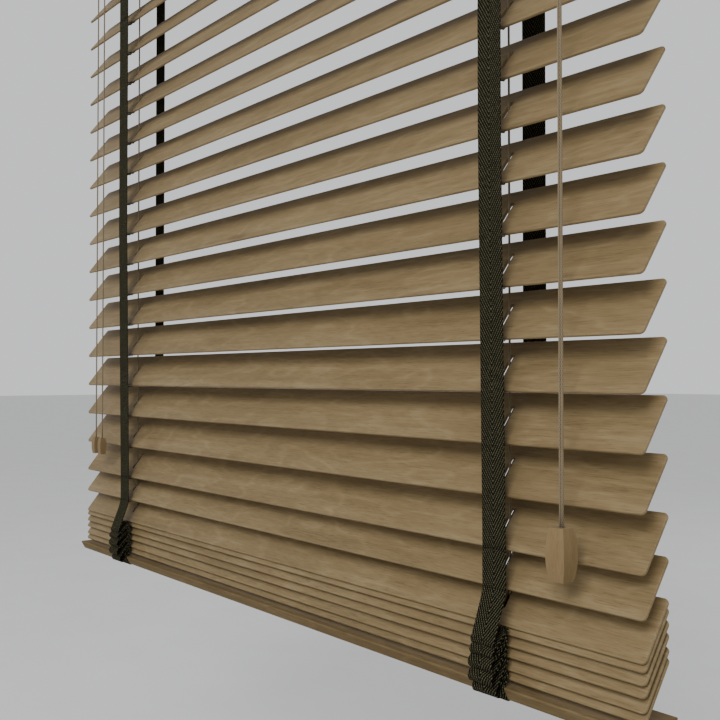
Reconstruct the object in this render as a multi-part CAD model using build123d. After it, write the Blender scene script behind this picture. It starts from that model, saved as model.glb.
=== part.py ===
"""Wooden venetian blind, 50 mm slats, tape ladders, cord lift and cord tilt.

Millimetres, +X to the right of a person in the room, +Y towards the window, +Z up.
The origin is the middle of the four top screw holes, on the brackets' top face.
The blind hangs below the origin, with its last seven slats gathered on the bottom rail.
"""
import os
from math import cos, radians, sin

from build123d import *

# Slats
slat_length = 923.0
slat_width = 50.0
slat_thickness = 2.8
slat_corner_radius = 4.0
slat_edge_radius = 1.0
slat_tilt = 52.0
slat_pitch = 41.0
hanging_slats = 18
gathered_drops = [30.5, 29.1, 5.8, 8.8, 8.5, 10.1, 7.2]
route_slot_length = 23.0
route_slot_width = 4.6

# Ladders and cords
ladder_x = 328.5
tape_width = 24.0
tape_thickness = 0.8
tape_y = 25.8
tape_offset_x = 3.5
tape_end_in_headrail = 5.0
cord_radius = 0.9
lift_cord_y = 1.6
front_fold_reach = 37.5
rear_fold_reach = 29.6
first_fold_reach = 30.0
fold_gap = 0.3

# Brackets
bracket_plate = 1.2
bracket_length = 33.0
bracket_outer_x = 465.7
bracket_back_y = 29.9
bracket_lip_y = 31.5
bracket_lip = 4.0
screw_x = 449.0
screw_half_spacing = 12.5
screw_radius = 2.4
back_screw_z = (-14.0, -39.0)

# Bracket doors
door_front_y = 30.1
door_thickness = 1.1
door_length = 31.5
door_top = -2.0
door_bottom = -50.5

# Headrail
headrail_length = 925.0
headrail_depth = 57.0
headrail_height = 50.0
headrail_wall = 1.0
headrail_lip = 5.0
headrail_top = -1.3
ladder_opening = 32.0

# Valance
valance_length = 928.0
valance_height = 70.0
valance_thickness = 7.0
valance_front_y = -45.0
valance_top = -0.5
clip_places = (-230.0, 0.0, 230.0)

# Tilt rod, drums and cradles
rod_z = -25.0
rod_across_flats = 6.3
rod_left_end = -405.0
rod_right_end = 352.0
drum_radius = 12.7
drum_flange_radius = 15.5
drum_half_length = 11.0
drum_flange = 1.5
hub_radius = 6.0
running_gap = 0.05
cradle_half_length = 20.0
cradle_half_depth = 24.8
cradle_post = 4.0
cradle_floor = 1.5

# Cord tilter
tilter_x = -386.5
tilt_cord_half_gap = 10.0
tilt_cord_y = -31.0
gear_radius = 10.0
gear_teeth = 20
gear_half_width = 4.0
gear_hub_radius = 5.0
worm_radius = 4.0
worm_gap = 0.3
spool_radius = 9.7
tilter_half_width = 12.6
tilter_wall = 1.8
tilter_nose_bottom = -58.5

# Cord lock
lock_x = 406.7
lock_y = -34.0
lock_half_length = 14.0
lock_wall = 2.0
lock_half_gap = 7.0
roller_x = 401.0
roller_z = -39.4
roller_radius = 4.5
pawl_x = 414.0
pawl_z = -33.0
lock_nose_bottom = -59.5
lift_run_z = -45.0
strand_half_gap = 1.0

# Toggles
pull_toggle_top = -777.0
pull_toggle_height = 38.0
pull_toggle_width = 16.3
pull_toggle_end_width = 11.8
tilt_toggle_top = -754.5
tilt_toggle_height = 22.0
tilt_toggle_width = 9.4
tilt_toggle_end_width = 7.0

# Bottom rail
rail_length = 923.0
rail_width = 50.0
rail_foot_width = 38.0
rail_height = 10.5
rail_edge_radius = 1.2
rail_clearance = 0.6
plug_radius = 8.0
plug_flange_radius = 10.0
knot_pocket_depth = 6.5
plug_stem_length = 3.5
plug_flange_thickness = 1.5

# Heights that follow from the sizes above
headrail_bottom = headrail_top - headrail_height
first_slat_z = headrail_bottom - 37.2
slat_heights = [first_slat_z - slat_pitch * index for index in range(hanging_slats)]
for drop in gathered_drops:
    slat_heights.append(slat_heights[-1] - drop)
tilted_half_height = slat_width / 2 * sin(radians(slat_tilt))
closed_half_height = slat_width / 2 * sin(radians(60)) + slat_thickness / 2 * cos(radians(60))
rail_top = slat_heights[-1] - closed_half_height - rail_clearance
rail_bottom = rail_top - rail_height
worm_z = rod_z - gear_radius - worm_radius - worm_gap


def block(x_range, y_range, z_range):
    """A box between two places along each axis."""
    sizes = [max(pair) - min(pair) for pair in (x_range, y_range, z_range)]
    middle = [sum(pair) / 2 for pair in (x_range, y_range, z_range)]
    return Pos(*middle) * Box(*sizes)


def rod_along_x(radius, x_range, y, z):
    length = max(x_range) - min(x_range)
    return Pos(sum(x_range) / 2, y, z) * Rot(0, 90, 0) * Cylinder(radius, length)


def rod_along_y(radius, x, y_range, z):
    length = max(y_range) - min(y_range)
    return Pos(x, sum(y_range) / 2, z) * Rot(90, 0, 0) * Cylinder(radius, length)


def rod_along_z(radius, x, y, z_range):
    length = max(z_range) - min(z_range)
    return Pos(x, y, sum(z_range) / 2) * Cylinder(radius, length)


def mirrored_x(shape):
    return mirror(shape, about=Plane.YZ)


def save(name, *solids):
    """Write one sub-part, made of one solid or of several separate ones."""
    pieces = []
    for solid in solids:
        pieces.extend(solid.solids())
    shape = pieces[0] if len(pieces) == 1 else Compound(children=pieces)
    shape.label = name
    export_step(shape, f"parts/{name}.step")


def flat_slat():
    """One slat lying flat, with rounded corners and a cord slot at each ladder."""
    board = Box(slat_length, slat_width, slat_thickness)
    board = fillet(board.edges().filter_by(Axis.Z), slat_corner_radius)
    board = fillet(board.edges().group_by(Axis.Z)[-1], slat_edge_radius)
    board = fillet(board.edges().group_by(Axis.Z)[0], slat_edge_radius)
    slot = extrude(SlotOverall(route_slot_length, route_slot_width, rotation=90), slat_width, both=True)
    return board - Pos(-ladder_x, 0, 0) * slot - Pos(ladder_x, 0, 0) * slot


def make_slats():
    tilted = Rot(slat_tilt, 0, 0) * flat_slat()
    for index, height in enumerate(slat_heights):
        save(f"slat_{index + 1:02d}", Pos(0, 0, height) * tilted)


def tape_block(side, near_y, far_y, z_range):
    """The same stretch of tape at the left and at the right ladder. Side is -1 in front, 1 behind."""
    solids = []
    for x in (-ladder_x, ladder_x):
        middle = x + tape_offset_x
        x_range = (middle - tape_width / 2, middle + tape_width / 2)
        solids.append(block(x_range, (side * near_y, side * far_y), z_range))
    return solids


def attach_height(index, side):
    """Height at which a slat's front or rear edge meets its tape."""
    return slat_heights[index] + side * tilted_half_height


def make_hanging_tapes():
    near = tape_y - tape_thickness / 2
    far = tape_y + tape_thickness / 2
    last = hanging_slats - 1
    top = headrail_bottom + tape_end_in_headrail
    save("front_tapes", *tape_block(-1, near, far, (top, attach_height(last, -1))))
    save("rear_tapes", *tape_block(1, near, far, (top, attach_height(last, 1))))


def make_tape_folds():
    """The slack tape between the gathered slats, as plain blocks that bulge away from the slats."""
    near = tape_y - tape_thickness / 2
    for fold in range(len(gathered_drops)):
        index = hanging_slats + fold
        front_reach = first_fold_reach if fold == 0 else front_fold_reach
        solids = []
        for side, reach in ((-1, front_reach), (1, rear_fold_reach)):
            top = attach_height(index - 1, side) - fold_gap
            bottom = attach_height(index, side) + fold_gap
            solids += tape_block(side, near, reach, (top, bottom))
        save(f"tape_fold_{fold + 1}", *solids)


def make_tape_tails():
    """The tape's ends, which pass down the rail's faces and turn in under it."""
    near = rail_width / 2 + 0.3
    far = near + tape_thickness
    under = rail_bottom - 0.1
    tails = []
    for side in (-1, 1):
        top = attach_height(-1, side) - fold_gap
        falls = tape_block(side, near, far, (top, under - tape_thickness))
        turns = tape_block(side, near - 12.0, far, (under, under - tape_thickness))
        tails += [fall + turn for fall, turn in zip(falls, turns)]
    save("tape_tails", *tails)


def make_headrail():
    """A steel channel, open at the top, with turned-in lips and openings in its floor."""
    half = headrail_depth / 2
    x_range = (-headrail_length / 2, headrail_length / 2)
    outer = block(x_range, (-half, half), (headrail_bottom, headrail_top))
    inner_half = half - headrail_wall
    floor = headrail_bottom + headrail_wall
    rail = outer - block(x_range, (-inner_half, inner_half), (floor, headrail_top - headrail_wall))
    mouth_half = inner_half - headrail_lip
    rail -= block(x_range, (-mouth_half, mouth_half), (floor, headrail_top))
    for x in (-ladder_x, ladder_x):
        opening = (x - ladder_opening / 2, x + ladder_opening / 2)
        rail -= block(opening, (-inner_half + 0.1, inner_half - 0.1), (headrail_bottom, floor))
    tilter = (tilter_x - tilter_half_width, tilter_x + tilter_half_width)
    rail -= block(tilter, (-27.0, -18.0), (headrail_bottom, floor))
    rail -= block((lock_x - 9.0, lock_x + 9.0), (-27.0, -18.0), (headrail_bottom, floor))
    save("headrail", rail)


def right_end_cap():
    half = headrail_depth / 2
    end = headrail_length / 2
    plate = block((end, end + 1.5), (-half, half), (headrail_bottom, headrail_top))
    plug_half = half - headrail_wall - 0.2
    plug = block((end - 6.0, end), (-plug_half, plug_half), (headrail_bottom + 1.2, headrail_top - 1.2))
    hollow = block((end - 6.0, end), (-plug_half + 2, plug_half - 2), (headrail_bottom + 3.2, headrail_top - 3.2))
    return plate + plug - hollow


def right_bracket():
    """A box bracket, open towards the blind's middle and closed in front by its door."""
    inner_x = bracket_outer_x - bracket_length
    x_range = (inner_x, bracket_outer_x)
    bottom = headrail_bottom - bracket_plate
    shell = block(x_range, (-bracket_lip_y, bracket_back_y), (bottom, 0))
    cavity_x = (inner_x, bracket_outer_x - bracket_plate)
    cavity_y = (-bracket_lip_y + bracket_plate, bracket_back_y - bracket_plate)
    shell -= block(cavity_x, cavity_y, (headrail_bottom, -bracket_plate))
    window = (-bracket_lip_y, -bracket_lip_y + bracket_plate)
    shell -= block(cavity_x, window, (bottom + bracket_lip, -bracket_lip))
    for y in (-screw_half_spacing, screw_half_spacing):
        shell -= rod_along_z(screw_radius, screw_x, y, (-3.0, 1.0))
    for z in back_screw_z:
        shell -= rod_along_y(screw_radius, screw_x, (bracket_back_y - 3.0, bracket_back_y + 1.0), z)
    return shell


def right_bracket_door():
    """A plate that slides along the bracket's lips, with a thumb ridge."""
    outer_x = bracket_outer_x - bracket_plate - 0.3
    x_range = (outer_x - door_length, outer_x)
    plate = block(x_range, (-door_front_y, -door_front_y + door_thickness), (door_bottom, door_top))
    ridge = block((x_range[0] + 3, x_range[0] + 6), (-door_front_y - 1.6, -door_front_y), (-36.0, -16.0))
    return plate + ridge


def make_ends():
    cap = right_end_cap()
    save("end_caps", mirrored_x(cap), cap)
    bracket = right_bracket()
    save("brackets", mirrored_x(bracket), bracket)
    door = right_bracket_door()
    save("bracket_door_right", door)
    save("bracket_door_left", mirrored_x(door))


def make_valance():
    back_y = valance_front_y + valance_thickness
    z_range = (valance_top - valance_height, valance_top)
    board = block((-valance_length / 2, valance_length / 2), (valance_front_y, back_y), z_range)
    front_edges = board.faces().sort_by(Axis.Y)[0].edges()
    save("valance", fillet(front_edges, 2.5))
    headrail_front = -headrail_depth / 2
    clips = []
    for x in clip_places:
        x_range = (x - 9.0, x + 9.0)
        hook = block(x_range, (back_y, -22.0), (headrail_top, headrail_top + 1.0))
        back = block(x_range, (back_y, back_y + 1.5), (-40.0, headrail_top + 1.0))
        spacer = block(x_range, (back_y, headrail_front), (-26.0, -24.0))
        clips.append(hook + back + spacer)
    save("valance_clips", *clips)


def hexagon_bar(across_flats, x_range):
    profile = RegularPolygon(across_flats / 2, 6, major_radius=False)
    bar = extrude(profile, max(x_range) - min(x_range))
    return Pos(min(x_range), 0, rod_z) * Rot(0, 90, 0) * bar


def ladder_drum(x):
    """The drum that the tapes hang from, with a flange and a bearing hub at each end."""
    flange_end = drum_half_length + drum_flange
    hub_end = flange_end + 1.0 + cradle_post + 1.0
    drum = rod_along_x(drum_radius, (x - drum_half_length, x + drum_half_length), 0, rod_z)
    for side in (-1, 1):
        edge = (x + side * drum_half_length, x + side * flange_end)
        drum += rod_along_x(drum_flange_radius, edge, 0, rod_z)
        drum += rod_along_x(hub_radius, (edge[1], x + side * hub_end), 0, rod_z)
    bore = hexagon_bar(rod_across_flats + 2 * running_gap, (x - hub_end - 1, x + hub_end + 1))
    return drum - bore


def drum_cradle(x):
    """Two posts with bearing holes on a floor that straddles the ladder opening."""
    floor_z = headrail_bottom + headrail_wall
    x_range = (x - cradle_half_length, x + cradle_half_length)
    cradle = block(x_range, (-cradle_half_depth, cradle_half_depth), (floor_z, floor_z + cradle_floor))
    cradle -= block((x - 12.8, x + 12.8), (-20.0, 20.0), (floor_z, floor_z + cradle_floor))
    post_start = drum_half_length + drum_flange + 1.0
    for side in (-1, 1):
        post_x = (x + side * post_start, x + side * (post_start + cradle_post))
        post = block(post_x, (-14.0, 14.0), (floor_z, rod_z))
        post += rod_along_x(14.0, post_x, 0, rod_z)
        post -= block(post_x, (-5.0, 5.0), (floor_z, floor_z + 8.3))
        post -= rod_along_x(hub_radius + running_gap, post_x, 0, rod_z)
        cradle += post
    return cradle - block((x - 30, x + 30), (-5.0, 5.0), (floor_z, floor_z + cradle_floor))


def make_tilt_rod():
    save("tilt_rod", hexagon_bar(rod_across_flats, (rod_left_end, rod_right_end)))
    save("ladder_drums", ladder_drum(-ladder_x), ladder_drum(ladder_x))
    save("drum_cradles", drum_cradle(-ladder_x), drum_cradle(ladder_x))


def make_tilter_gear():
    """Worm wheel on the tilt rod. Its hub turns in the tilter's side walls."""
    profile = Circle(gear_radius - 1.6)
    for tooth in range(gear_teeth):
        angle = tooth * 360 / gear_teeth
        profile += Rot(0, 0, angle) * Pos(gear_radius - 1.2, 0) * Rectangle(2.4, 1.5)
    profile &= Circle(gear_radius)
    wheel = extrude(profile, gear_half_width, both=True)
    wheel = Pos(tilter_x, 0, rod_z) * Rot(0, 90, 0) * wheel
    hub_range = (tilter_x - tilter_half_width - 0.5, tilter_x + tilter_half_width + 0.5)
    wheel += rod_along_x(gear_hub_radius, hub_range, 0, rod_z)
    bore = hexagon_bar(rod_across_flats + 2 * running_gap, (hub_range[0] - 1, hub_range[1] + 1))
    save("tilter_gear", wheel - bore)


def make_tilter_spool():
    """Grooved cord spool and the worm on its shaft."""
    spool = rod_along_y(spool_radius, tilter_x, (-24.5, -17.5), worm_z)
    for y in (-22.8, -19.2):
        ring = Pos(tilter_x, y, worm_z) * Rot(90, 0, 0) * Torus(spool_radius, 1.1)
        spool -= ring
    spool += rod_along_y(2.0, tilter_x, (-26.8, 12.4), worm_z)
    spool += rod_along_y(worm_radius - 1.0, tilter_x, (-17.5, 10.0), worm_z)
    for thread in range(9):
        y = -12.0 + 2.4 * thread
        spool += rod_along_y(worm_radius, tilter_x, (y - 0.5, y + 0.5), worm_z)
    save("tilter_spool", spool)


def make_tilter_housing():
    """Open-topped gearbox in the headrail, with a nose below that the two tilt cords leave."""
    floor_z = headrail_bottom + headrail_wall
    half = tilter_half_width
    x_range = (tilter_x - half, tilter_x + half)
    inner_x = (x_range[0] + tilter_wall, x_range[1] - tilter_wall)
    box = block(x_range, (-27.0, 12.5), (floor_z, -14.0))
    box -= block(inner_x, (-25.4, 11.0), (floor_z + 0.9, -14.0))
    box -= rod_along_x(gear_hub_radius + running_gap, (x_range[0] - 1, x_range[1] + 1), 0, rod_z)
    box -= rod_along_y(2.0 + running_gap, tilter_x, (-28.0, 13.5), worm_z)
    neck = block((x_range[0] + 0.3, x_range[1] - 0.3), (-26.7, -18.3), (headrail_bottom, floor_z))
    nose = block(x_range, (-36.0, -18.0), (tilter_nose_bottom, headrail_bottom))
    nose = fillet(nose.edges().filter_by(Axis.X).group_by(Axis.Z)[0], 2.5)
    housing = box + neck + nose
    for side in (-1, 1):
        x = tilter_x + side * tilt_cord_half_gap
        hole = (tilter_nose_bottom, headrail_bottom - 2.0)
        housing -= rod_along_z(cord_radius + 0.2, x, tilt_cord_y, hole)
    save("tilter_housing", housing)


def make_lock_housing():
    """Cord lock body: a floor with two side walls, and a nose below that the pull cords leave."""
    floor_z = headrail_bottom + headrail_wall
    x_range = (lock_x - lock_half_length, lock_x + lock_half_length)
    body = block(x_range, (-27.0, lock_half_gap + lock_wall), (floor_z, floor_z + 1.5))
    for side in (-1, 1):
        wall_y = (side * lock_half_gap, side * (lock_half_gap + lock_wall))
        body += block(x_range, wall_y, (floor_z, -26.0))
    ends = (-lock_half_gap - lock_wall - 1, lock_half_gap + lock_wall + 1)
    body -= rod_along_y(1.5 + running_gap, roller_x, ends, roller_z)
    body -= rod_along_y(1.5 + running_gap, pawl_x, ends, pawl_z)
    nose_x = (lock_x - 8.5, lock_x + 8.5)
    neck = block(nose_x, (-26.7, -18.3), (headrail_bottom, floor_z))
    nose = block(nose_x, (-37.5, -18.0), (lock_nose_bottom, headrail_bottom))
    nose = fillet(nose.edges().filter_by(Axis.X).group_by(Axis.Z)[0], 2.5)
    hole_height = headrail_bottom - 2.0 - lock_nose_bottom
    hole = extrude(SlotOverall(4.4, 2.2), hole_height)
    body = body + neck + nose - Pos(lock_x, lock_y, lock_nose_bottom) * hole
    save("cord_lock_housing", body)


def make_lock_parts():
    roller = rod_along_y(roller_radius, roller_x, (-6.5, 6.5), roller_z)
    for groove in range(12):
        angle = radians(30 * groove)
        x = roller_x + roller_radius * cos(angle)
        z = roller_z + roller_radius * sin(angle)
        roller -= rod_along_y(0.4, x, (-6.5, 6.5), z)
    roller += rod_along_y(1.5, roller_x, (-8.9, 8.9), roller_z)
    save("cord_lock_roller", roller)
    arm = make_face(Polyline((0, 3.0), (3.0, 0), (-1.6, -10.6), (-4.6, -9.2), (-3.0, 0), (0, 3.0)))
    arm = Pos(pawl_x, 6.5, pawl_z) * Rot(90, 0, 0) * extrude(arm, 13.0)
    arm += rod_along_y(3.0, pawl_x, (-6.5, 6.5), pawl_z)
    arm += rod_along_y(1.5, pawl_x, (-8.9, 8.9), pawl_z)
    save("cord_lock_pawl", arm)


def straight_cord(x, y, z_range):
    return rod_along_z(cord_radius, x, y, z_range)


def lift_cord(x, y):
    """Up from the knot in the bottom rail, through the slats, then along the headrail to the lock."""
    start = (x, y, rail_bottom + knot_pocket_depth)
    corner = (x, y, lift_run_z)
    end = (roller_x + 2.0, y, lift_run_z)
    path = FilletPolyline(start, corner, end, radius=4.0)
    profile = Plane(origin=start, z_dir=(0, 0, 1)) * Circle(cord_radius)
    return sweep(profile, path=path)


def make_cords():
    save("lift_cords", lift_cord(-ladder_x, -lift_cord_y), lift_cord(ladder_x, lift_cord_y))
    exit_z = headrail_bottom - 2.0
    tilt_end = tilt_toggle_top - 6.0
    left = tilter_x - tilt_cord_half_gap
    right = tilter_x + tilt_cord_half_gap
    save("tilt_cord_a", straight_cord(left, tilt_cord_y, (exit_z, tilt_end)))
    save("tilt_cord_b", straight_cord(right, tilt_cord_y, (exit_z, tilt_end)))
    pull_end = pull_toggle_top - 10.0
    strands = [straight_cord(lock_x + side * strand_half_gap, lock_y, (exit_z, pull_end)) for side in (-1, 1)]
    save("pull_cords", *strands)


def barrel(width, end_width, height):
    """A square block whose four faces bulge, standing with its top at the origin."""
    end = end_width / 2
    middle = width / 2
    right = ThreePointArc((end, 0), (middle, -height / 2), (end, -height))
    left = ThreePointArc((-end, -height), (-middle, -height / 2), (-end, 0))
    outline = make_face([right, Line((end, -height), (-end, -height)), left, Line((-end, 0), (end, 0))])
    across = Rot(90, 0, 0) * extrude(outline, width, both=True)
    return across & (Rot(0, 0, 90) * across)


def make_toggles():
    pull = Pos(lock_x, lock_y, pull_toggle_top) * barrel(
        pull_toggle_width, pull_toggle_end_width, pull_toggle_height)
    pull -= Pos(lock_x, lock_y, pull_toggle_top - 10.0) * extrude(SlotOverall(4.4, 2.2), 10.0)
    save("pull_toggle", pull)
    shape = barrel(tilt_toggle_width, tilt_toggle_end_width, tilt_toggle_height)
    shape -= rod_along_z(cord_radius + 0.2, 0, 0, (-6.0, 0))
    for name, side in (("a", -1), ("b", 1)):
        x = tilter_x + side * tilt_cord_half_gap
        save(f"tilt_toggle_{name}", Pos(x, tilt_cord_y, tilt_toggle_top) * shape)


def make_bottom_rail():
    """The rail, narrower below than above, with a cord hole, a knot pocket and a plug at each ladder."""
    half = rail_width / 2
    foot = rail_foot_width / 2
    outline = Polyline((-half, rail_top), (half, rail_top), (foot, rail_bottom), (-foot, rail_bottom), close=True)
    rail = extrude(Plane.YZ * make_face(outline), rail_length / 2, both=True)
    rail = fillet(rail.edges().filter_by(Axis.X), rail_edge_radius)
    plugs = []
    for x, y in ((-ladder_x, -lift_cord_y), (ladder_x, lift_cord_y)):
        rail -= rod_along_z(2.5, x, y, (rail_bottom, rail_top))
        rail -= rod_along_z(plug_radius, x, y, (rail_bottom, rail_bottom + knot_pocket_depth))
        stem = rod_along_z(plug_radius - 0.1, x, y, (rail_bottom, rail_bottom + plug_stem_length))
        flange = rod_along_z(plug_flange_radius, x, y, (rail_bottom - plug_flange_thickness, rail_bottom))
        plugs.append(fillet((stem + flange).edges().group_by(Axis.Z)[0], 1.0))
    save("bottom_rail", rail)
    save("rail_plugs", *plugs)


os.makedirs("parts", exist_ok=True)
make_slats()
make_hanging_tapes()
make_tape_folds()
make_tape_tails()
make_headrail()
make_ends()
make_valance()
make_tilt_rod()
make_tilter_gear()
make_tilter_spool()
make_tilter_housing()
make_lock_housing()
make_lock_parts()
make_cords()
make_toggles()
make_bottom_rail()
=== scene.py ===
"""Looks of the wooden venetian blind: wood grain, woven tapes, cords, fittings, camera and light."""
import math
import random

import bpy
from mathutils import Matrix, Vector


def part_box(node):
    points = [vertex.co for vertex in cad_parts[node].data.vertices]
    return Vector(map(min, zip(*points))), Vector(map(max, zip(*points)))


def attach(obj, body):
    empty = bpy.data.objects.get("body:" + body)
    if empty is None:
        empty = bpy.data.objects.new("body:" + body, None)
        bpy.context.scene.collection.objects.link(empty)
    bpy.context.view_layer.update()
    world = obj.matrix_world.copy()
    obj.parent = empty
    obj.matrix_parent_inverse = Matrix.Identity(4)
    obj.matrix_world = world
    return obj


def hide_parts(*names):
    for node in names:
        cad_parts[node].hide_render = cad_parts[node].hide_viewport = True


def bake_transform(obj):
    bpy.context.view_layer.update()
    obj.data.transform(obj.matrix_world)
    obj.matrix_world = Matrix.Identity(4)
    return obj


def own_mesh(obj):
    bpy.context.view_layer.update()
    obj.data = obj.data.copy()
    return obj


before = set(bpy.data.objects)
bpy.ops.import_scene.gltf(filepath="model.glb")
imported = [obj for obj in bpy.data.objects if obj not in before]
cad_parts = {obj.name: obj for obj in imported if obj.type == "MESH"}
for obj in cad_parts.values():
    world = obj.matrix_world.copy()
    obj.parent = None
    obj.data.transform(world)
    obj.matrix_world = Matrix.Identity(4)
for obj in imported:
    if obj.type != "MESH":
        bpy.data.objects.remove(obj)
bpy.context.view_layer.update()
random.seed(41)

# What the frame says, and the blind's measures in metres
SLATS = sorted(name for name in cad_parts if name.startswith("slat_"))
FOLDS = sorted(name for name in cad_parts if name.startswith("tape_fold_"))
HANGING = len(SLATS) - len(FOLDS)
SLAT_TILT = math.radians(52)
SLAT_WIDTH = 0.050
SLAT_THICKNESS = 0.0028
SLAT_Z = [sum(corner.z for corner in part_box(name)) / 2 for name in SLATS]
EDGE_RISE = SLAT_WIDTH / 2 * math.sin(SLAT_TILT)
TAPE_LOW, TAPE_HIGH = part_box("front_tapes")
DRUM_TAPE_Y = -(TAPE_LOW.y + TAPE_HIGH.y) / 2
REAR_TAPE_Y = 0.0284
DRIFTED_TAPE_Y = 0.0216
TAPE_JOINT = -0.190
TAPE_INSIDE_HEADRAIL = 0.0045
DRIFT_TOP = -0.470
DRIFT_BOTTOM = -0.800
TAPE_WIDTH = 0.024
TAPE_THICKNESS = 0.0008
TAPE_X = {"left": TAPE_LOW.x + TAPE_WIDTH / 2, "right": TAPE_HIGH.x - TAPE_WIDTH / 2}
CORD_LOW, CORD_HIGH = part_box("lift_cords")
LADDER_X = {"left": -0.3285, "right": 0.3285}
HEADRAIL_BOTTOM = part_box("headrail")[0].z
RAIL_LOW, RAIL_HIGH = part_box("bottom_rail")
RAIL_FOOT_Y = 0.0190
CORD_RADIUS = 0.0009
RUNG_RADIUS = 0.00045
RUNG_HALF_GAP = 0.0048


# ---------------------------------------------------------------- mesh building

def new_object(name, vertices, faces, smooth_faces=None, uvs=None):
    """A mesh object in the scene. Faces are smooth unless smooth_faces says otherwise."""
    mesh = bpy.data.meshes.new(name)
    mesh.from_pydata([tuple(v) for v in vertices], [], faces)
    for index, polygon in enumerate(mesh.polygons):
        polygon.use_smooth = smooth_faces is None or smooth_faces[index]
    if uvs is not None:
        layer = mesh.uv_layers.new(name="surface")
        for polygon in mesh.polygons:
            for loop, vertex_uv in zip(polygon.loop_indices, uvs[polygon.index]):
                layer.data[loop].uv = vertex_uv
    obj = bpy.data.objects.new(name, mesh)
    bpy.context.scene.collection.objects.link(obj)
    return obj


def smooth_path(points, steps=8):
    """Catmull-Rom line through the points."""
    line = []
    padded = [points[0], *points, points[-1]]
    for before, start, end, after in zip(padded, padded[1:], padded[2:], padded[3:]):
        for step in range(steps):
            t = step / steps
            line.append(0.5 * (2 * start + (end - before) * t
                               + (2 * before - 5 * start + 4 * end - after) * t ** 2
                               + (3 * start - before - 3 * end + after) * t ** 3))
    line.append(points[-1])
    return line


SELVEDGE = 0.0012
SELVEDGE_LIP = 0.0003
MIDDLE_COLUMNS = 7


def tape_section():
    """Offsets across a tape and half its thickness at each: thin at the lips, thickest at the selvedges."""
    half_width = TAPE_WIDTH / 2
    inner = TAPE_WIDTH - 2 * SELVEDGE
    middle = [inner * (column + 1) / (MIDDLE_COLUMNS + 1) - inner / 2 for column in range(MIDDLE_COLUMNS)]
    offsets = [-half_width, SELVEDGE_LIP - half_width, SELVEDGE - half_width, *middle,
               half_width - SELVEDGE, half_width - SELVEDGE_LIP, half_width]
    flat, lip, thick = 0.5 * TAPE_THICKNESS, 0.2 * TAPE_THICKNESS, 0.62 * TAPE_THICKNESS
    halves = [lip, thick, thick] + [flat] * MIDDLE_COLUMNS + [thick, thick, lip]
    return offsets, halves


def tape_ring(point, along, x_middle, lean):
    """The vertices of one section across a tape: its upper side, then its lower side back."""
    normal = Vector((0, -along.z, along.y))
    upper, lower = [], []
    for offset, half in zip(*tape_section()):
        centre = Vector((x_middle + offset, point.y + lean * offset / TAPE_WIDTH, point.z))
        upper.append(centre + normal * half)
        lower.append(centre - normal * half)
    return upper + lower[::-1]


def ribbon(name, x_middle, path, skew=0.0):
    """A woven tape that follows a path in the YZ plane, with slightly thicker selvedges."""
    last = len(path) - 1
    vertices, faces, smooth, uvs = [], [], [], []
    for index, point in enumerate(path):
        along = (path[min(index + 1, last)] - path[max(index - 1, 0)]).normalized()
        vertices += tape_ring(point, along, x_middle, skew * math.sin(math.pi * index / last))
    across = [offset + TAPE_WIDTH / 2 for offset in tape_section()[0]]
    across += across[::-1]
    ring = len(across)
    travelled = 0.0
    for index in range(last):
        ahead = travelled + (path[index + 1] - path[index]).length
        for column in range(ring):
            following = (column + 1) % ring
            a = index * ring + column
            b = index * ring + following
            faces.append((a, b, b + ring, a + ring))
            smooth.append(column not in (ring // 2 - 1, ring - 1))
            uvs.append([(across[column], travelled), (across[following], travelled),
                        (across[following], ahead), (across[column], ahead)])
        travelled = ahead
    first_cap = range(ring)
    faces += [tuple(reversed(first_cap)), tuple(last * ring + column for column in first_cap)]
    smooth += [False, False]
    uvs += [[(0.0, 0.0)] * ring, [(0.0, 0.0)] * ring]
    return new_object(name, vertices, faces, smooth, uvs)


def tube(name, path, radius=CORD_RADIUS, sides=10):
    """A round cord along a path, with its length as one UV axis."""
    vertices, faces, smooth, uvs = [], [], [], []
    travelled = 0.0
    side = Vector((1, 0, 0))
    for index, point in enumerate(path):
        before = path[max(index - 1, 0)]
        after = path[min(index + 1, len(path) - 1)]
        along = (after - before).normalized()
        side = side - along * side.dot(along)
        if side.length < 1e-6:
            side = along.orthogonal()
        side.normalize()
        other = along.cross(side)
        for corner in range(sides):
            angle = 2 * math.pi * corner / sides
            vertices.append(point + radius * (side * math.cos(angle) + other * math.sin(angle)))
    for index in range(len(path) - 1):
        step = (path[index + 1] - path[index]).length
        for corner in range(sides):
            a = index * sides + corner
            b = index * sides + (corner + 1) % sides
            faces.append((a, b, b + sides, a + sides))
            smooth.append(True)
            low, high = corner / sides, (corner + 1) / sides
            ahead = travelled + step
            uvs.append([(low, travelled), (high, travelled), (high, ahead), (low, ahead)])
        travelled += step
    last = (len(path) - 1) * sides
    faces.append(tuple(reversed(range(sides))))
    faces.append(tuple(range(last, last + sides)))
    smooth += [False, False]
    uvs += [[(0.0, 0.0)] * sides, [(0.0, 0.0)] * sides]
    return new_object(name, vertices, faces, smooth, uvs)


def cord_line(route):
    """Points read from the smooth NURBS line of a cord's route."""
    curve = bpy.data.curves.new("route", "CURVE")
    curve.dimensions = "3D"
    spline = curve.splines.new("NURBS")
    spline.points.add(len(route) - 1)
    for control, point in zip(spline.points, route):
        control.co = (*point, 1.0)
    spline.order_u = 3
    spline.use_endpoint_u = True
    spline.resolution_u = 12
    holder = bpy.data.objects.new("route", curve)
    mesh = bpy.data.meshes.new_from_object(holder)
    line = [vertex.co.copy() for vertex in mesh.vertices]
    bpy.data.objects.remove(holder)
    bpy.data.meshes.remove(mesh)
    bpy.data.curves.remove(curve)
    return line


def straight(start, end, step):
    """Evenly spaced points on a straight line."""
    count = max(2, round((end - start).length / step))
    return [start.lerp(end, index / count) for index in range(count + 1)]


# ---------------------------------------------------------------- materials

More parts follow.
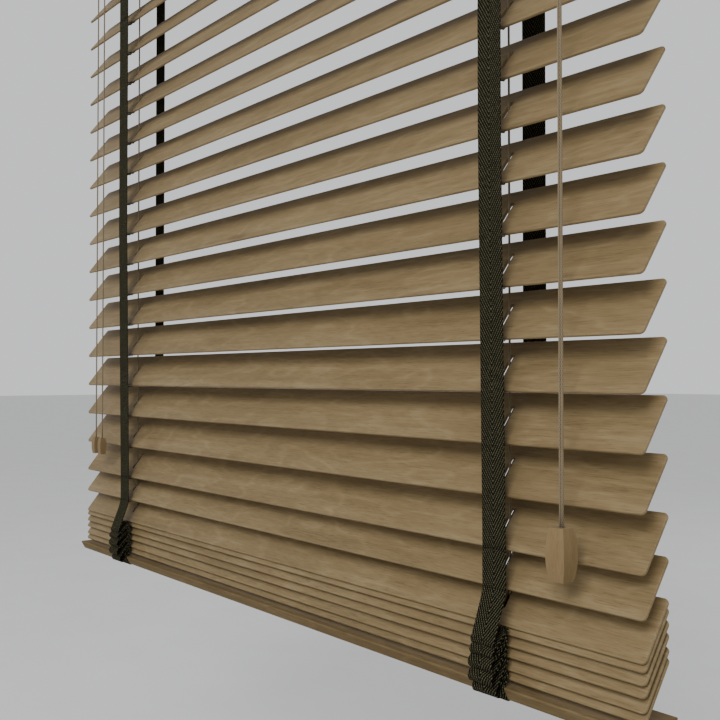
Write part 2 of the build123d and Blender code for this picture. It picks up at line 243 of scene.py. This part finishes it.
class Shader:
    """A material's node tree with short calls to add nodes."""

    def __init__(self, name, **sockets):
        self.material = bpy.data.materials.new(name)
        self.material.use_nodes = True
        self.tree = self.material.node_tree
        self.surface = self.tree.nodes["Principled BSDF"]
        for socket, value in sockets.items():
            self.surface.inputs[socket.replace("_", " ")].default_value = value

    def node(self, kind, **settings):
        made = self.tree.nodes.new(kind)
        for name, value in settings.items():
            setattr(made, name, value)
        return made

    def link(self, source, target):
        self.tree.links.new(source, target)

    def math(self, operation, first, second=0.0, third=0.0):
        made = self.node("ShaderNodeMath", operation=operation)
        for socket, value in zip(made.inputs, (first, second, third)):
            if isinstance(value, (int, float)):
                socket.default_value = value
            else:
                self.link(value, socket)
        return made.outputs[0]

    def noise(self, vector, scale, detail=4.0, roughness=0.55, distortion=0.0):
        made = self.node("ShaderNodeTexNoise")
        self.link(vector, made.inputs["Vector"])
        made.inputs["Scale"].default_value = scale
        made.inputs["Detail"].default_value = detail
        made.inputs["Roughness"].default_value = roughness
        made.inputs["Distortion"].default_value = distortion
        return made.outputs["Fac"]

    def mapping(self, vector, scale=(1, 1, 1), rotation=(0, 0, 0), location=(0, 0, 0)):
        made = self.node("ShaderNodeMapping")
        self.link(vector, made.inputs["Vector"])
        made.inputs["Scale"].default_value = scale
        made.inputs["Rotation"].default_value = rotation
        made.inputs["Location"].default_value = location
        return made.outputs["Vector"]

    def ramp(self, value, stops):
        made = self.node("ShaderNodeValToRGB")
        self.link(value, made.inputs["Fac"])
        elements = made.color_ramp.elements
        while len(elements) < len(stops):
            elements.new(0.5)
        for element, (place, color) in zip(elements, stops):
            element.position = place
            element.color = (*color, 1.0)
        return made.outputs["Color"]

    def mix(self, amount, first, second, blend_type="MIX"):
        made = self.node("ShaderNodeMix", data_type="RGBA", blend_type=blend_type)
        for socket, value in ((0, amount), (6, first), (7, second)):
            if isinstance(value, float):
                made.inputs[socket].default_value = value
            elif isinstance(value, tuple):
                made.inputs[socket].default_value = (*value, 1.0)
            else:
                self.link(value, made.inputs[socket])
        return made.outputs[2]

    def bump(self, height, strength, distance):
        made = self.node("ShaderNodeBump")
        self.link(height, made.inputs["Height"])
        made.inputs["Strength"].default_value = strength
        made.inputs["Distance"].default_value = distance
        self.link(made.outputs["Normal"], self.surface.inputs["Normal"])

    def color(self, value):
        self.link(value, self.surface.inputs["Base Color"])

    def roughness(self, value):
        self.link(value, self.surface.inputs["Roughness"])


# Features per metre along the grain, across it and through the board
DRIFT_SCALE = (3, 14, 14)
STREAK_SCALE = (5, 230, 230)
FIBRE_SCALE = (70, 1100, 1100)
PATCH_SCALE = (6, 34, 34)
FIGURE_SCALE = (6, 22, 22)
KNOT_SCALE = (3.2, 14, 14)
FIGURE_RINGS = 7
GRAIN_DRIFT = 0.010


def grain_flow(shader, board):
    """The board's coordinates with the grain lines wandering slowly up and down."""
    drift = shader.node("ShaderNodeTexNoise")
    shader.link(shader.mapping(board, scale=DRIFT_SCALE), drift.inputs["Vector"])
    drift.inputs["Scale"].default_value = 1.0
    drift.inputs["Detail"].default_value = 2.0
    bowed = shader.node("ShaderNodeVectorMath", operation="ADD")
    shader.link(board, bowed.inputs[0])
    wander = shader.mapping(drift.outputs["Color"], scale=(0.0, GRAIN_DRIFT, GRAIN_DRIFT))
    shader.link(wander, bowed.inputs[1])
    return bowed.outputs[0]


def grain_figure(shader, flow, fibres):
    """Thin pale arches, like the contour lines of low hills."""
    hills = shader.noise(shader.mapping(flow, scale=FIGURE_SCALE), 1.0, detail=2.0)
    ragged = shader.math("MULTIPLY", fibres, 2.0)
    rings = shader.math("MULTIPLY_ADD", hills, 2 * math.pi * FIGURE_RINGS, ragged)
    waves = shader.math("MULTIPLY_ADD", shader.math("SINE", rings), 0.5, 0.5)
    return shader.math("POWER", waves, 5.0)


def knot_spots(shader, board):
    """White, with a few small dark spots."""
    knots = shader.node("ShaderNodeTexVoronoi", feature="F1")
    shader.link(shader.mapping(board, scale=KNOT_SCALE), knots.inputs["Vector"])
    knots.inputs["Scale"].default_value = 1.0
    return shader.ramp(knots.outputs["Distance"], [(0.03, (0.42, 0.33, 0.26)), (0.085, (1.0, 1.0, 1.0))])


def wood(name, tilt, dark, middle, light, upright=False, shine=0.18):
    """Stained timber: long grain along X (or Z), faint arched figure, pores and a few small knots."""
    shader = Shader(name, Specular_IOR_Level=shine)
    place = shader.node("ShaderNodeTexCoord").outputs["Object"]
    turn = (0, math.pi / 2, 0) if upright else (-tilt, 0, 0)
    board = shader.mapping(place, rotation=turn)
    flow = grain_flow(shader, board)
    streaks = shader.noise(shader.mapping(flow, scale=STREAK_SCALE), 1.0, detail=5.0, roughness=0.6)
    fibres = shader.noise(shader.mapping(flow, scale=FIBRE_SCALE), 1.0, detail=3.0, roughness=0.65)
    patch = shader.noise(shader.mapping(board, scale=PATCH_SCALE), 1.0, detail=3.0)
    tone = shader.math("MULTIPLY_ADD", streaks, 0.34, shader.math("MULTIPLY", patch, 0.30))
    tone = shader.math("MULTIPLY_ADD", grain_figure(shader, flow, fibres), 0.068, tone)
    tone = shader.math("MULTIPLY_ADD", fibres, 0.38, tone)
    base = shader.ramp(tone, [(0.35, dark), (0.53, middle), (0.71, light)])
    pores = shader.ramp(fibres, [(0.30, (0.66, 0.62, 0.56)), (0.42, (1.0, 1.0, 1.0))])
    base = shader.mix(0.5, base, pores, "MULTIPLY")
    base = shader.mix(0.45, base, knot_spots(shader, board), "MULTIPLY")
    shader.color(base)
    shader.roughness(shader.math("MULTIPLY_ADD", streaks, 0.16, 0.50))
    relief = shader.math("MULTIPLY_ADD", fibres, 0.5, shader.math("MULTIPLY", streaks, 0.5))
    shader.bump(relief, 0.35, 0.00025)
    return shader.material


RIB_PITCH = 0.0042
YARN_PITCH = 0.0020
CHEVRON_SLOPE = 1.7
BRAID_PITCH = 0.0032


def woven_tape(name, stretches):
    """Chevron twill. A tape that stretches takes its length from height instead of from its own UV."""
    shader = Shader(name, Roughness=0.95, Specular_IOR_Level=0.04)
    coords = shader.node("ShaderNodeTexCoord")
    across_along = shader.node("ShaderNodeSeparateXYZ")
    shader.link(coords.outputs["UV"], across_along.inputs[0])
    across = across_along.outputs[0]
    along = across_along.outputs[1]
    if stretches:
        heights = shader.node("ShaderNodeSeparateXYZ")
        shader.link(coords.outputs["Object"], heights.inputs[0])
        along = shader.math("MULTIPLY", heights.outputs[2], -1.0)
    from_middle = shader.math("ABSOLUTE", shader.math("SUBTRACT", across, TAPE_WIDTH / 2))
    chevron = shader.math("MULTIPLY_ADD", from_middle, CHEVRON_SLOPE, along)
    wobble = shader.noise(coords.outputs["Object"], 420.0, detail=2.0)
    chevron = shader.math("MULTIPLY_ADD", wobble, 0.0006, chevron)
    rib = shader.math("SINE", shader.math("MULTIPLY", chevron, 2 * math.pi / RIB_PITCH))
    along_rib = shader.math("MULTIPLY_ADD", from_middle, 1.0, shader.math("MULTIPLY", along, -0.7))
    yarn = shader.math("SINE", shader.math("MULTIPLY", along_rib, 2 * math.pi / YARN_PITCH))
    weave = shader.math("MULTIPLY_ADD", yarn, 0.5, rib)
    height = shader.math("MULTIPLY_ADD", weave, 0.33, 0.5)
    fuzz = shader.noise(coords.outputs["Object"], 1500.0, detail=3.0)
    level = shader.math("MULTIPLY_ADD", shader.math("SUBTRACT", fuzz, 0.5), 1.3, height)
    shader.color(shader.ramp(level, [(0.30, (0.0034, 0.0032, 0.0016)), (0.64, (0.0140, 0.0132, 0.0070)),
                                     (1.00, (0.1080, 0.0990, 0.0580))]))
    shader.bump(level, 0.8, 0.0006)
    return shader.material


def braided_cord(name, dark, light):
    """Two sets of strands that cross round the cord, a little soiled along its length."""
    shader = Shader(name, Roughness=0.7, Sheen_Weight=0.2, Specular_IOR_Level=0.3)
    coords = shader.node("ShaderNodeTexCoord")
    parts = shader.node("ShaderNodeSeparateXYZ")
    shader.link(coords.outputs["UV"], parts.inputs[0])
    turns = shader.math("MULTIPLY", parts.outputs[0], 8 * math.pi)
    length = shader.math("MULTIPLY", parts.outputs[1], 2 * math.pi / BRAID_PITCH)
    one_way = shader.math("SINE", shader.math("ADD", turns, length))
    other_way = shader.math("SINE", shader.math("SUBTRACT", turns, length))
    braid = shader.math("MULTIPLY_ADD", shader.math("MAXIMUM", one_way, other_way), 0.4, 0.5)
    soil = shader.noise(coords.outputs["Object"], 60.0, detail=3.0)
    level = shader.math("MULTIPLY_ADD", soil, 0.4, shader.math("SUBTRACT", braid, 0.2))
    shader.color(shader.ramp(level, [(0.2, dark), (0.85, light)]))
    shader.bump(braid, 0.6, 0.0002)
    return shader.material


def moulded_plastic(name, dark, light, roughness, **sockets):
    """Injection-moulded plastic: a fine spark-eroded texture and a slight flow mottle."""
    shader = Shader(name, **sockets)
    place = shader.node("ShaderNodeTexCoord").outputs["Object"]
    grain = shader.noise(place, 3200.0, detail=3.0)
    mottle = shader.noise(place, 90.0, detail=4.0)
    shader.color(shader.ramp(mottle, [(0.3, dark), (0.7, light)]))
    shader.roughness(shader.math("MULTIPLY_ADD", grain, 0.16, roughness - 0.08))
    shader.bump(grain, 0.25, 0.0001)
    return shader.material


def metal(name, dark, light, roughness, metallic, stretch):
    """Painted or plated steel, with rolling marks along X and faint scuffs."""
    shader = Shader(name, Metallic=metallic)
    place = shader.node("ShaderNodeTexCoord").outputs["Object"]
    rolled = shader.noise(shader.mapping(place, scale=stretch), 1.0, detail=5.0)
    scuffs = shader.noise(place, 130.0, detail=6.0, roughness=0.7)
    level = shader.math("MULTIPLY_ADD", rolled, 0.6, shader.math("MULTIPLY", scuffs, 0.4))
    shader.color(shader.ramp(level, [(0.3, dark), (0.7, light)]))
    shader.roughness(shader.math("MULTIPLY_ADD", scuffs, 0.25, roughness - 0.12))
    shader.bump(level, 0.15, 0.0001)
    return shader.material


SLAT_TONES = ((0.122, 0.084, 0.036), (0.180, 0.128, 0.060), (0.244, 0.181, 0.095))
# Painted shade: the rail's tones are the slat tones darkened, standing in for the shade on the bottom rail's
# faces under the stack
RAIL_TONES_PAINTED_SHADE = ((0.085, 0.057, 0.025), (0.126, 0.088, 0.041), (0.171, 0.125, 0.065))
TOGGLE_TONES = ((0.135, 0.089, 0.039), (0.170, 0.116, 0.053), (0.200, 0.141, 0.069))
MATERIALS = {
    "slat": wood("slat_wood", SLAT_TILT, *SLAT_TONES),
    "board": wood("board_wood", 0.0, *SLAT_TONES),
    # the bottom rail's material carries painted shade in its darker tones
    "rail": wood("rail_wood_painted_shade", 0.0, *RAIL_TONES_PAINTED_SHADE, shine=0.03),
    "toggle": wood("toggle_wood", 0.0, *TOGGLE_TONES, upright=True),
    "tape": woven_tape("tape_weave", False),
    "hanging_tape": woven_tape("tape_weave_hanging", True),
    "cord": braided_cord("cord_braid", (0.078, 0.055, 0.026), (0.172, 0.129, 0.068)),
    "steel": metal("painted_steel", (0.175, 0.130, 0.080), (0.215, 0.165, 0.105), 0.45, 0.0, (8, 300, 300)),
    "zinc": metal("zinc_plate", (0.46, 0.46, 0.45), (0.66, 0.66, 0.66), 0.34, 1.0, (12, 900, 900)),
    "brass": metal("machined_brass", (0.50, 0.36, 0.14), (0.72, 0.55, 0.26), 0.3, 1.0, (600, 60, 600)),
    "white": moulded_plastic("white_acetal", (0.62, 0.60, 0.55), (0.74, 0.72, 0.67), 0.42),
    "brown": moulded_plastic("brown_plastic", (0.070, 0.047, 0.026), (0.105, 0.073, 0.042), 0.5),
    "clear": moulded_plastic("clear_plastic", (0.75, 0.77, 0.78), (0.88, 0.90, 0.91), 0.12,
                             Transmission_Weight=0.7, IOR=1.5),
}
NODE_LOOKS = {
    "bottom_rail": "rail", "valance": "board",
    "pull_toggle": "toggle", "tilt_toggle_a": "toggle", "tilt_toggle_b": "toggle",
    "headrail": "steel", "brackets": "steel",
    "bracket_door_left": "steel", "bracket_door_right": "steel",
    "end_caps": "brown", "rail_plugs": "brown", "valance_clips": "clear",
    "tilt_rod": "zinc", "cord_lock_pawl": "zinc", "cord_lock_roller": "brass",
    "ladder_drums": "white", "drum_cradles": "white", "tilter_gear": "white", "tilter_spool": "white",
    "tilter_housing": "brown", "cord_lock_housing": "brown",
}


def paint(obj, look):
    """Give an object one material from MATERIALS."""
    obj.data.materials.clear()
    obj.data.materials.append(MATERIALS[look])


def paint_cad_nodes():
    """Materials for the CAD solids that stay visible."""
    for name in SLATS:
        paint(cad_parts[name], "slat")
    for name, look in NODE_LOOKS.items():
        paint(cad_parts[name], look)


# ---------------------------------------------------------------- tapes

def edge_height(index, side):
    """Height of a slat's front (side -1) or rear (side 1) edge."""
    return SLAT_Z[index] + side * EDGE_RISE


# Outer ends of the front loops, bays 2 to 7: depth in front of the middle plane, and height
FRONT_TIPS = ((0.0357, -0.8737), (0.0369, -0.8814), (0.0380, -0.8910),
              (0.0378, -0.9016), (0.0337, -0.9108), (0.0262, -0.9055))
TIP_ROUNDNESS = (0.0036, 0.0035, 0.0045, 0.0047, 0.0041, 0.0017)
REAR_REACH = 0.0335
REAR_DROOP = 0.0105
REAR_ROUNDNESS = 0.0030
ROOT_Y = 0.0185


def in_yz(points):
    """Points in the plane x = 0 from pairs of depth and height."""
    return [Vector((0, y, z)) for y, z in points]


def tape_depth(side, z):
    """How far a hanging tape is from the middle plane. The front ones drift in towards the slats."""
    if side > 0:
        return REAR_TAPE_Y
    share = min(max((DRIFT_TOP - z) / (DRIFT_TOP - DRIFT_BOTTOM), 0.0), 1.0)
    return DRUM_TAPE_Y + share * (DRIFTED_TAPE_Y - DRUM_TAPE_Y)


def hung_path(side, top, bottom, step=0.006):
    """The path of a hanging tape between two heights."""
    return [Vector((0, side * tape_depth(side, p.z), p.z))
            for p in straight(Vector((0, 0, top)), Vector((0, 0, bottom)), step)]


def hanging_tape(ladder, side):
    """Two lengths of tape from headrail to last hanging slat, joined at a fixed height."""
    face = "front" if side < 0 else "rear"
    top = HEADRAIL_BOTTOM + TAPE_INSIDE_HEADRAIL
    joint = TAPE_JOINT
    bottom = edge_height(HANGING - 1, side)
    upper = ribbon(f"{face}_tape_{ladder}_top", TAPE_X[ladder], hung_path(side, top, joint))
    lower = ribbon(f"{face}_tape_{ladder}", TAPE_X[ladder], hung_path(side, joint, bottom))
    for piece in (upper, lower):
        paint(piece, "hanging_tape")
    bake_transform(upper)
    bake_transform(lower)
    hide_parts(f"{face}_tapes")


def round_tip(tip, lean, roundness):
    """Points round the outer end of a loop, from its upper leg to its lower one."""
    normal = Vector((0, -lean.z, lean.y))
    centre = Vector((0, tip[0] - roundness, tip[1]))
    turns = [math.pi * (0.5 - step / 4) for step in range(5)]
    return [centre + roundness * (normal * math.sin(turn) + lean * math.cos(turn)) for turn in turns]


def loop_path(top, bottom, side, tip, roundness, bow=0.0006):
    """A slack bay of tape: out and down from the upper slat's edge, round, and back to the lower one's."""
    start = Vector((0, ROOT_Y, top))
    end = Vector((0, ROOT_Y, bottom))
    lean = (Vector((0, tip[0] - roundness, tip[1])) - (start + end) / 2).normalized()
    normal = Vector((0, -lean.z, lean.y))
    curl = round_tip(tip, lean, roundness)
    upper = start.lerp(curl[0], 0.55) + normal * bow
    lower = end.lerp(curl[-1], 0.55) - normal * bow
    points = [start, upper, *curl, lower, end]
    return [Vector((0, side * p.y, p.z)) for p in smooth_path(points, 5)]


def long_fold_path(top, bottom, side):
    """The half-open bay above the stack: a long slant out and down, a round end, and back to the slat."""
    if side > 0:
        middle = (top + bottom) / 2
        points = [(REAR_TAPE_Y, top), (REAR_TAPE_Y + 0.0012, middle), (REAR_TAPE_Y + 0.0006, bottom - 0.003),
                  (REAR_TAPE_Y - 0.0030, bottom - 0.0052), (ROOT_Y, bottom)]
        return smooth_path(in_yz(points), 6)
    tip, roundness = FRONT_TIPS[0], TIP_ROUNDNESS[0]
    start = Vector((0, DRIFTED_TAPE_Y, top))
    end = Vector((0, ROOT_Y, bottom))
    lean = Vector((0, 0.80, -0.60))
    curl = round_tip(tip, lean, roundness)
    middle = start.lerp(curl[0], 0.5) + Vector((0, -0.0006, 0))
    quarter = start.lerp(middle, 0.5) + Vector((0, -0.0005, 0))
    points = [start, quarter, middle, *curl, end.lerp(curl[-1], 0.5), end]
    return [Vector((0, side * p.y, p.z)) for p in smooth_path(points, 6)]


def bay_piece(ladder, side, number, path):
    """One bay of tape as a folded sheet that rests on the slat below it."""
    face = "front" if side < 0 else "rear"
    skew = random.uniform(-0.0006, 0.0006)
    piece = ribbon(f"{face}_tape_{ladder}_bay_{number}", TAPE_X[ladder], path, skew=skew)
    paint(piece, "tape")
    return piece


def first_folds(ladder, side):
    """The two bays that are still nearly open."""
    heights = [edge_height(HANGING - 1 + step, side) for step in range(3)]
    open_bay = bay_piece(ladder, side, 1, hung_path(side, heights[0], heights[1], 0.003))
    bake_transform(open_bay)
    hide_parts("tape_fold_1")
    slack_bay = bay_piece(ladder, side, 2, long_fold_path(heights[1], heights[2], side))
    if side < 0:
        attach(slack_bay, "fold_1")
        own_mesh(slack_bay)
    else:
        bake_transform(slack_bay)
        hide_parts("tape_fold_2")


def gathered_fold(ladder, side, number):
    """One loop of slack tape against its neighbours, and the flat stretch that shows when it opens."""
    face = "front" if side < 0 else "rear"
    top = edge_height(HANGING + number - 2, side)
    bottom = edge_height(HANGING + number - 1, side)
    if side < 0:
        y = -DRIFTED_TAPE_Y
        path = loop_path(top, bottom, side, FRONT_TIPS[number - 2], TIP_ROUNDNESS[number - 2])
    else:
        y = REAR_TAPE_Y
        path = loop_path(top, bottom, side, (REAR_REACH, bottom - REAR_DROOP), REAR_ROUNDNESS)
    name = f"{face}_tape_{ladder}_bay_{number}"
    loop = ribbon(name, TAPE_X[ladder] + random.uniform(-0.0006, 0.0006), path,
                  skew=random.uniform(-0.0010, 0.0010))
    flat = ribbon(f"{name}_flat", TAPE_X[ladder],
                  straight(Vector((0, y, top)), Vector((0, y, bottom)), 0.001))
    paint(loop, "tape")
    paint(flat, "hanging_tape")
    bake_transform(flat)
    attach(loop, f"fold_{number}")
    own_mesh(loop)
    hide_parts(f"tape_fold_{number}")


def tape_tail(ladder, side):
    """The tape's end: from the last slat over the rail's edge, down its sloping face and under it."""
    face = "front" if side < 0 else "rear"
    clear = 0.0006
    top = edge_height(len(SLATS) - 1, side)
    shoulder = (RAIL_HIGH.y + clear, RAIL_HIGH.z)
    foot = (RAIL_FOOT_Y + clear, RAIL_LOW.z)
    slope = [(shoulder[0] + share * (foot[0] - shoulder[0]), shoulder[1] + share * (foot[1] - shoulder[1]))
             for share in (0.06, 0.35, 0.65, 0.93)]
    half_way = ((ROOT_Y + shoulder[0]) / 2, (top + shoulder[1]) / 2 + clear)
    under = RAIL_LOW.z - clear
    points = [(ROOT_Y, top), half_way, (shoulder[0] - 0.0008, shoulder[1] + clear), *slope,
              (foot[0] - 0.0012, under), (foot[0] - 0.0110, under)]
    path = smooth_path(in_yz([(side * y, z) for y, z in points]), 6)
    piece = ribbon(f"{face}_tape_{ladder}_tail", TAPE_X[ladder], path)
    paint(piece, "tape")
    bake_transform(piece)
    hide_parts("tape_tails")


def build_tapes():
    """Front and rear tape of both ladders, from the headrail to the ends under the bottom rail."""
    for ladder in ("left", "right"):
        for side in (-1, 1):
            hanging_tape(ladder, side)
            first_folds(ladder, side)
            for number in range(3, len(FOLDS) + 1):
                gathered_fold(ladder, side, number)
            tape_tail(ladder, side)


# ---------------------------------------------------------------- rungs under the slats

def slat_point(index, across, below):
    """A point on the slat's section, across from its centre line and below its middle plane."""
    y = across * math.cos(SLAT_TILT) + below * math.sin(SLAT_TILT)
    z = across * math.sin(SLAT_TILT) - below * math.cos(SLAT_TILT)
    return Vector((0, y, SLAT_Z[index] + z))


def rung_route(index, side):
    """Along the slat's underside to one edge and out to the tape, level with it."""
    below = SLAT_THICKNESS / 2 + RUNG_RADIUS
    half = SLAT_WIDTH / 2 + RUNG_RADIUS
    edge = slat_point(index, side * half, below * 0.6)
    depth = tape_depth(side, edge.z) if index < HANGING + 1 else ROOT_Y
    tape = Vector((0, side * (depth - TAPE_THICKNESS / 2), edge.z + side * 0.0010))
    return smooth_path([slat_point(index, 0, below), slat_point(index, side * half * 0.5, below),
                        slat_point(index, side * half * 0.93, below), edge, edge.lerp(tape, 0.5), tape], 4)


def build_rungs():
    """Two thin cords under each slat at each ladder, from the front tape to the rear one."""
    for index, slat in enumerate(SLATS):
        for side in (-1, 1):
            face = "front" if side < 0 else "rear"
            route = rung_route(index, side)
            strands = []
            for ladder in ("left", "right"):
                for shift in (-RUNG_HALF_GAP, RUNG_HALF_GAP):
                    x = TAPE_X[ladder] + shift
                    line = [Vector((x, p.y, p.z)) for p in route]
                    strands.append(tube(f"strand_{len(strands)}", line, RUNG_RADIUS, 6))
            rungs = join(f"rungs_{slat[-2:]}_{face}", strands)
            paint(rungs, "tape")
            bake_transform(rungs)


def join(name, objects):
    """One mesh object made of several."""
    with bpy.context.temp_override(active_object=objects[0], selected_editable_objects=objects):
        bpy.ops.object.join()
    objects[0].name = name
    objects[0].data.name = name
    return objects[0]


# ---------------------------------------------------------------- cords

def free_cord(name, x, y, exit_z, toggle, node):
    """A cord that hangs straight down from the headrail to its toggle."""
    top, bottom = exit_z + 0.003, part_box(toggle)[1].z - 0.004
    path = cord_line([(x, y, top), (x, y, (top + bottom) / 2), (x, y, bottom)])
    piece = tube(name, path)
    paint(piece, "cord")
    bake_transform(piece)
    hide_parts(node)
    return piece


def build_free_cords():
    """The two tilt cords and the two pull cords."""
    for letter in "ab":
        node = f"tilt_cord_{letter}"
        low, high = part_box(node)
        x, y = (low.x + high.x) / 2, (low.y + high.y) / 2
        exit_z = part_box("tilter_housing")[0].z
        free_cord(f"tilt_line_{letter}", x, y, exit_z, f"tilt_toggle_{letter}", node)
    low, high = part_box("pull_cords")
    exit_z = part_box("cord_lock_housing")[0].z
    y = (low.y + high.y) / 2
    for number, x in ((1, low.x + CORD_RADIUS), (2, high.x - CORD_RADIUS)):
        free_cord(f"pull_line_{number}", x, y, exit_z, "pull_toggle", "pull_cords")


def build_lift_cords():
    """The held part of the lift cords: up through the slats and along the headrail to the lock."""
    run_z = CORD_HIGH.z - CORD_RADIUS
    turn = 0.0110
    for ladder, y in (("left", CORD_LOW.y + CORD_RADIUS), ("right", CORD_HIGH.y - CORD_RADIUS)):
        x = LADDER_X[ladder]
        route = [(x, y, CORD_LOW.z), (x, y, CORD_LOW.z / 2), (x, y, run_z - turn), (x, y, run_z),
                 (x + turn, y, run_z), ((x + CORD_HIGH.x) / 2, y, run_z), (CORD_HIGH.x, y, run_z)]
        path = cord_line(route)
        piece = tube(f"lift_line_{ladder}", path)
        paint(piece, "cord")
        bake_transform(piece)
        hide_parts("lift_cords")


# ---------------------------------------------------------------- stage

CAMERA_PLACE = (0.8085, -0.553, -0.6706)
CAMERA_AZIMUTH = math.radians(50.3)
CAMERA_PITCH = math.radians(1.08)
FOCAL_LENGTH_MM = 45.1


def build_camera():
    """The camera at the height, angle and focal length that the blind is seen from."""
    data = bpy.data.cameras.new("camera")
    data.sensor_width = 36.0
    data.lens = FOCAL_LENGTH_MM
    data.clip_start = 0.01
    camera = bpy.data.objects.new("camera", data)
    camera.location = CAMERA_PLACE
    camera.rotation_euler = (math.pi / 2 + CAMERA_PITCH, 0, CAMERA_AZIMUTH)
    bpy.context.scene.collection.objects.link(camera)
    bpy.context.scene.camera = camera


def area_light(name, azimuth, elevation, distance, size, power):
    """A soft square light that faces the blind's middle. Azimuth 0 is in front of it, 90 to its right."""
    centre = Vector((0, 0, -0.5))
    a, e = math.radians(azimuth), math.radians(elevation)
    back = Vector((math.sin(a) * math.cos(e), -math.cos(a) * math.cos(e), math.sin(e)))
    data = bpy.data.lights.new(name, "AREA")
    data.size = size
    data.energy = power
    light = bpy.data.objects.new(name, data)
    light.location = centre + back * distance
    light.rotation_mode = "QUATERNION"
    light.rotation_quaternion = (-back).to_track_quat("-Z", "Y")
    bpy.context.scene.collection.objects.link(light)


def build_stage():
    """A pale floor below the blind, an even sky, and three soft lights."""
    size = 30.0
    height = -1.30
    floor = new_object("floor", [(-size, -size, height), (size, -size, height),
                                 (size, size, height), (-size, size, height)], [(0, 1, 2, 3)])
    shader = Shader("floor_paint", Roughness=0.8)
    place = shader.node("ShaderNodeTexCoord").outputs["Object"]
    mottle = shader.noise(place, 6.0, detail=5.0)
    shader.color(shader.ramp(mottle, [(0.3, (0.62, 0.62, 0.61)), (0.7, (0.65, 0.65, 0.64))]))
    floor.data.materials.append(shader.material)
    world = bpy.data.worlds.new("studio")
    world.use_nodes = True
    world.node_tree.nodes["Background"].inputs["Color"].default_value = (0.80, 0.81, 0.83, 1.0)
    world.node_tree.nodes["Background"].inputs["Strength"].default_value = 1.0
    bpy.context.scene.world = world
    area_light("key", 30, 30, 3.2, 1.5, 80.0)
    area_light("fill", -50, 15, 3.5, 2.0, 12.0)
    area_light("back", 165, 12, 3.5, 2.0, 22.0)


build_camera()
build_free_cords()
build_lift_cords()
build_tapes()
build_rungs()
paint_cad_nodes()
build_stage()
